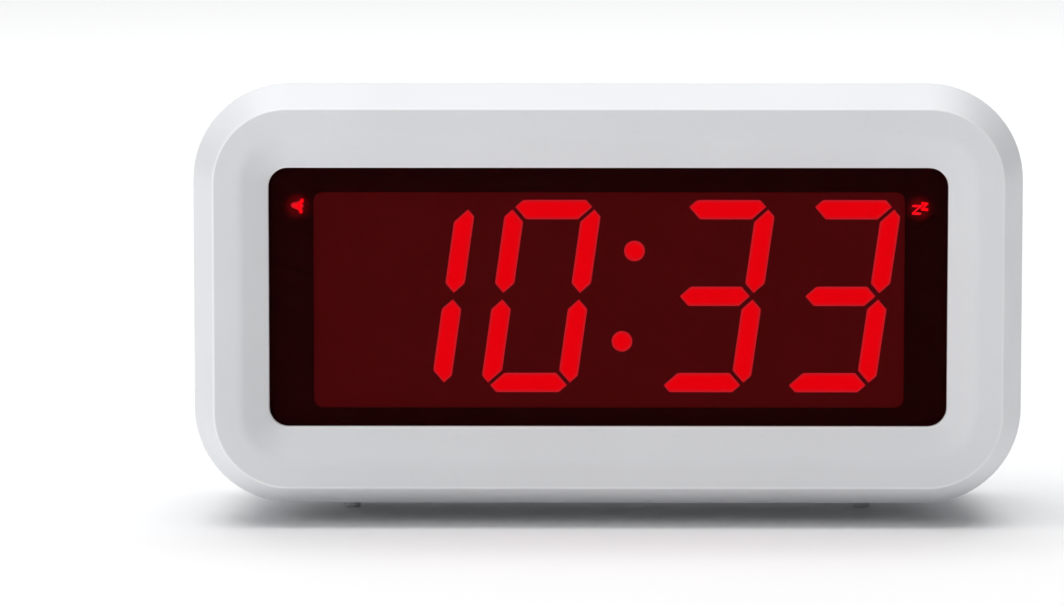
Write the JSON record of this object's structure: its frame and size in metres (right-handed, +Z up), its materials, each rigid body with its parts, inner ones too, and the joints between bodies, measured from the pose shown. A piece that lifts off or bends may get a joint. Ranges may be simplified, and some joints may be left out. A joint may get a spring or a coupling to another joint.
{
  "type": "alarm clock",
  "caption": "Battery-run desk alarm clock with a red segment display, snooze bar on top, setting buttons and alarm switch behind, and a hinged battery door.",
  "frame": {"origin": "centre of the bounding box on the surface that the feet stand on", "axes": "+X to the right seen from the front, the display faces -Y, +Z up"},
  "size_m": [0.1296, 0.043, 0.0691],
  "materials": {
    "white_shell": "satin moulded ABS, white with a faint cool tint",
    "white_button": "satin moulded ABS, a shade greyer than the shell",
    "grey_knob": "moulded acetal, mid grey, grooved",
    "red_lens": "dark red tinted acrylic, polished",
    "black_mask": "black printed film",
    "black_housing": "black reflector body of the display",
    "led_red": "lit red display segment, diffusing epoxy",
    "led_off": "unlit display segment, diffusing epoxy",
    "light_guide": "tinted light guide",
    "led_chip": "ceramic and phosphor-free clear resin",
    "tinned_pins": "tinned wire",
    "circuit_board": "green solder mask on glass fibre",
    "black_component": "black moulding compound",
    "metal_can": "drawn plated steel",
    "capacitor_sleeve": "shrunk PVC sleeve",
    "cell_sleeve": "printed sleeve on a steel can, dark grey, unmarked",
    "nickel_contact": "nickel-plated spring steel",
    "red_wire": "PVC-insulated wire",
    "black_wire": "PVC-insulated wire",
    "white_wire": "PVC-insulated wire",
    "grey_ribbon": "flat ribbon cable",
    "screw_steel": "zinc-plated steel",
    "foot_rubber": "moulded grey rubber, matte"
  },
  "bodies": {
    "clock_body": {"front_bezel": "white_shell", "rear_case": "white_shell", "display_lens": "red_lens", "mask_film": "black_mask", "display_housing": "black_housing", "hours_tens_lit": "led_red", "hours_units_lit": "led_red", "minutes_tens_lit": "led_red", "minutes_units_lit": "led_red", "colon_dots": "led_red", "alarm_indicator": "led_red", "snooze_indicator": "led_red", "unlit_segments": "led_off", "indicator_light_guides": "light_guide", "led_chips": "led_chip", "display_pins": "tinned_pins", "main_board": "circuit_board", "key_board": "circuit_board", "snooze_board": "circuit_board", "clock_chip": "black_component", "board_resistors": "black_component", "rear_switch_bodies": "black_component", "buzzer": "black_component", "snooze_switch_body": "black_component", "quartz_crystal": "metal_can", "alarm_switch_housing": "metal_can", "storage_capacitor": "capacitor_sleeve", "battery_cell_1": "cell_sleeve", "battery_cell_2": "cell_sleeve", "battery_cell_3": "cell_sleeve", "battery_cell_4": "cell_sleeve", "positive_contact": "nickel_contact", "negative_contact": "nickel_contact", "link_contact": "nickel_contact", "negative_spring": "nickel_contact", "link_spring": "nickel_contact", "lead_red": "red_wire", "lead_black": "black_wire", "snooze_lead": "white_wire", "ribbon_cable": "grey_ribbon", "case_screws": "screw_steel", "main_board_screws": "screw_steel", "key_board_screws": "screw_steel", "snooze_board_screws": "screw_steel", "foot_front_left": "foot_rubber", "foot_front_right": "foot_rubber", "foot_rear_left": "foot_rubber", "foot_rear_right": "foot_rubber"},
    "snooze_bar": {"snooze_bar": "white_button"},
    "time_button": {"time_button": "white_button"},
    "alarm_set_button": {"alarm_set_button": "white_button"},
    "hour_button": {"hour_button": "white_button"},
    "minute_button": {"minute_button": "white_button"},
    "alarm_slide_knob": {"alarm_slide_knob": "grey_knob"},
    "battery_door": {"battery_door": "white_shell"}
  },
  "joints": [
    {"name": "snooze_press", "type": "slide", "parent": "clock_body", "child": "snooze_bar", "axis": [0, 0, -1], "range_m": [0, 0.001], "stiffness_N_per_m": 800, "springref_m": -0.0015},
    {"name": "time_button_press", "type": "slide", "parent": "clock_body", "child": "time_button", "axis": [0, -1, 0], "range_m": [0, 0.0005], "stiffness_N_per_m": 900, "springref_m": -0.0012},
    {"name": "alarm_set_button_press", "type": "slide", "parent": "clock_body", "child": "alarm_set_button", "axis": [0, -1, 0], "range_m": [0, 0.0005], "stiffness_N_per_m": 900, "springref_m": -0.0012},
    {"name": "hour_button_press", "type": "slide", "parent": "clock_body", "child": "hour_button", "axis": [0, -1, 0], "range_m": [0, 0.0005], "stiffness_N_per_m": 900, "springref_m": -0.0012},
    {"name": "minute_button_press", "type": "slide", "parent": "clock_body", "child": "minute_button", "axis": [0, -1, 0], "range_m": [0, 0.0005], "stiffness_N_per_m": 900, "springref_m": -0.0012},
    {"name": "alarm_switch_slide", "type": "slide", "parent": "clock_body", "child": "alarm_slide_knob", "axis": [1, 0, 0], "range_m": [0, 0.003]},
    {"name": "battery_door_hinge", "type": "hinge", "parent": "clock_body", "child": "battery_door", "pos_m": [0, 0.0215, 0.01], "axis": [-1, 0, 0], "range_deg": [0, 80]}
  ]
}
